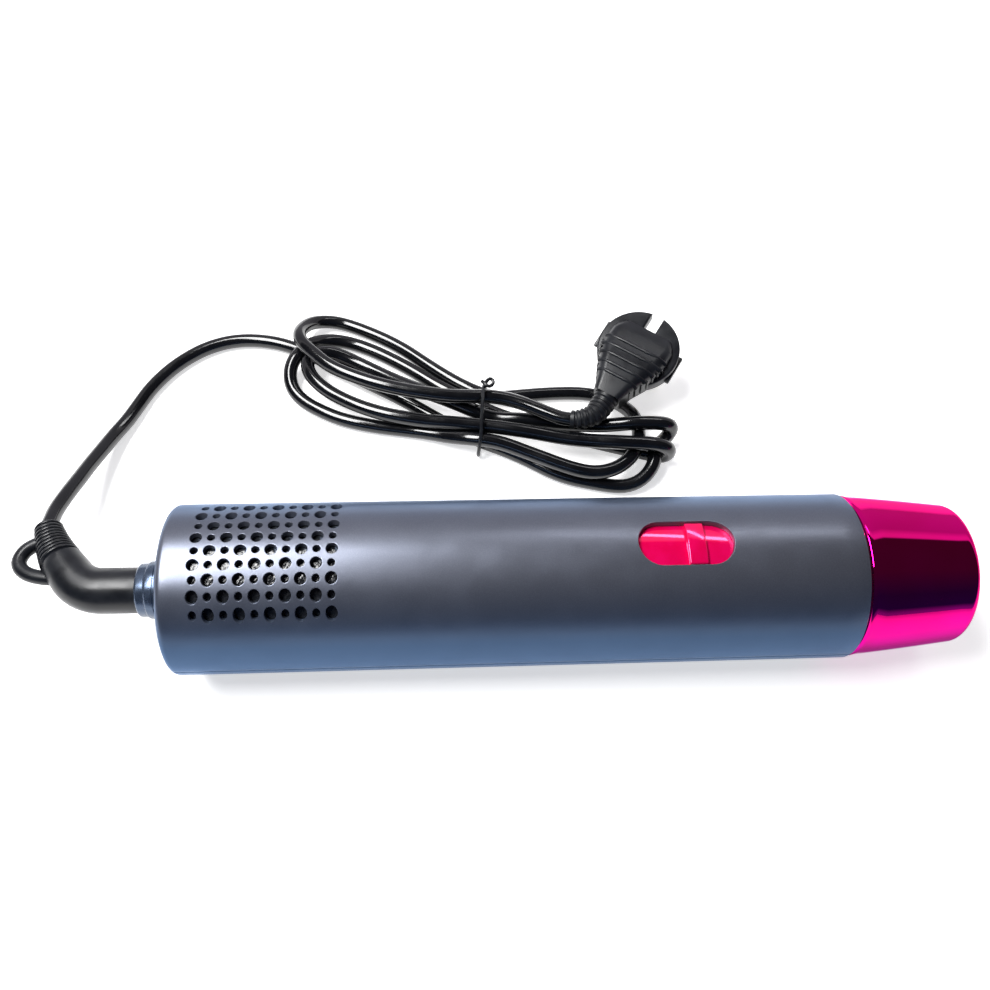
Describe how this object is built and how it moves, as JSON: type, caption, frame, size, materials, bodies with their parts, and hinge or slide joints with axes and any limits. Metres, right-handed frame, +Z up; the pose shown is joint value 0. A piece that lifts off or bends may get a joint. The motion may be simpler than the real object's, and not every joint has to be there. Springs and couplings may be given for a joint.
{
  "type": "hot air brush",
  "caption": "Cylindrical hot air brush handle with a vented rear, slide switch, tapered chrome outlet nozzle, and a swivel mains lead tied in a hank with its plug.",
  "frame": {"origin": "centre of the handle's footprint on the table, under the handle's box (collar to nozzle face), at the height of the table", "axes": "+X along the handle from the cord end to the air outlet, +Z up through the slide switch, +Y to the side where the tied cord lies"},
  "size_m": [0.3393, 0.1789, 0.0598],
  "materials": {
    "body_paint": "satin gunmetal metallic paint on moulded shells",
    "magenta_chrome": "magenta tinted mirror chrome",
    "black_plastic": "satin black moulded plastic",
    "cord_rubber": "glossy black flexible cord sheath",
    "white_nylon": "off-white moulded nylon",
    "steel": "plated steel",
    "brass": "nickelled brass",
    "mica": "pressed mica sheet",
    "heating_wire": "oxidised resistance wire",
    "board": "paper laminate circuit board",
    "wire_red": "red silicone insulation",
    "wire_blue": "blue silicone insulation"
  },
  "bodies": {
    "cord_set": {"cord_elbow": "black_plastic", "swivel_circlip": "steel", "contact_disc": "black_plastic", "contact_ring": "brass", "contact_pin": "brass", "cord_lead": "cord_rubber", "cord_hank": "cord_rubber", "cord_tie": "cord_rubber", "cord_tail": "cord_rubber", "plug_relief": "black_plastic", "plug_body": "black_plastic", "pin_sleeve_live": "black_plastic", "pin_sleeve_neutral": "black_plastic", "plug_pin_live": "brass", "plug_pin_neutral": "brass"},
    "handle": {"upper_shell": "body_paint", "lower_shell": "body_paint", "shell_screw_rear": "steel", "shell_screw_front": "steel", "swivel_bush": "body_paint", "nozzle": "magenta_chrome", "outlet_grille": "black_plastic", "contact_carrier": "black_plastic", "contact_spring_centre": "brass", "contact_spring_ring": "brass", "inlet_filter": "black_plastic", "fan_duct": "white_nylon", "motor_can": "steel", "motor_end_cap": "black_plastic", "switch_board": "board", "switch_body": "black_plastic", "board_screw_front": "steel", "board_screw_rear": "steel", "mica_tube": "mica", "mica_plate_upright": "mica", "mica_plate_level": "mica", "heater_hoop_rear": "mica", "heater_hoop_front": "mica", "heater_coil": "heating_wire", "thermostat": "steel", "thermal_fuse": "brass", "wire_live": "wire_red", "wire_neutral": "wire_blue", "heater_wire_live": "wire_red", "heater_wire_neutral": "wire_blue"},
    "slider": {"switch_slider": "magenta_chrome", "switch_lever": "white_nylon"},
    "rotor": {"motor_shaft": "steel", "impeller": "white_nylon"}
  },
  "joints": [
    {"name": "cord_swivel", "type": "hinge", "parent": "cord_set", "child": "handle", "pos_m": [-0.13345, 0, 0.02991], "axis": [1, 0, 0], "continuous": true},
    {"name": "switch_slide", "type": "slide", "parent": "handle", "child": "slider", "axis": [1, 0, 0], "range_m": [-0.008, 0]},
    {"name": "fan_spin", "type": "hinge", "parent": "handle", "child": "rotor", "pos_m": [-0.06745, 0, 0.02991], "axis": [1, 0, 0], "continuous": true}
  ]
}
